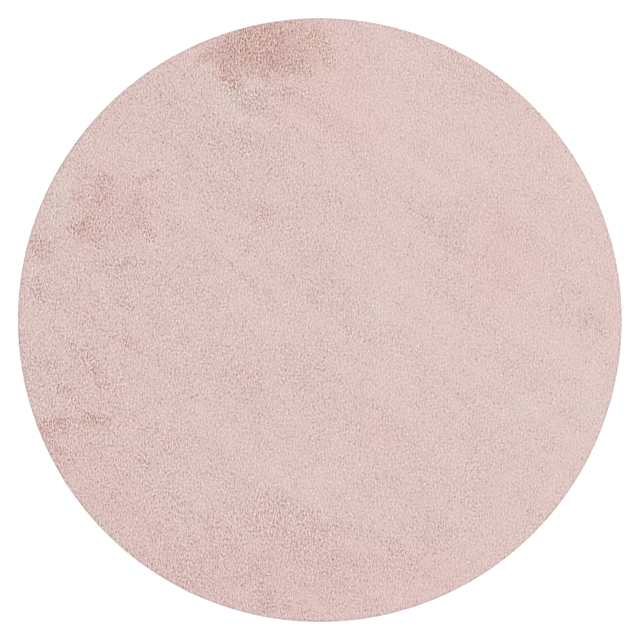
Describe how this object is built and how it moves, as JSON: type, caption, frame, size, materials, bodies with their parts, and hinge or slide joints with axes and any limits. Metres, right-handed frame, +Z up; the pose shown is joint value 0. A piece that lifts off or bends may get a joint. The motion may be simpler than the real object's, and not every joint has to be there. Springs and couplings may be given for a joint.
{
  "type": "round low pile rug",
  "caption": "Flat round floor rug with a short, dense, soft cut pile on a woven ground cloth, in softly shaded blush pink; lies pile up on a floor.",
  "frame": {"origin": "middle of the underside, where the rug lies on the floor", "axes": "+Z up out of the pile; +Y towards the far edge and +X to the right, seen from above"},
  "size_m": [1.2, 1.2, 0.01],
  "materials": {
    "pile": "soft matt cut pile, dusty blush with faint rose and greige shading"
  },
  "bodies": {
    "root": {"rug": "pile"}
  },
  "joints": []
}
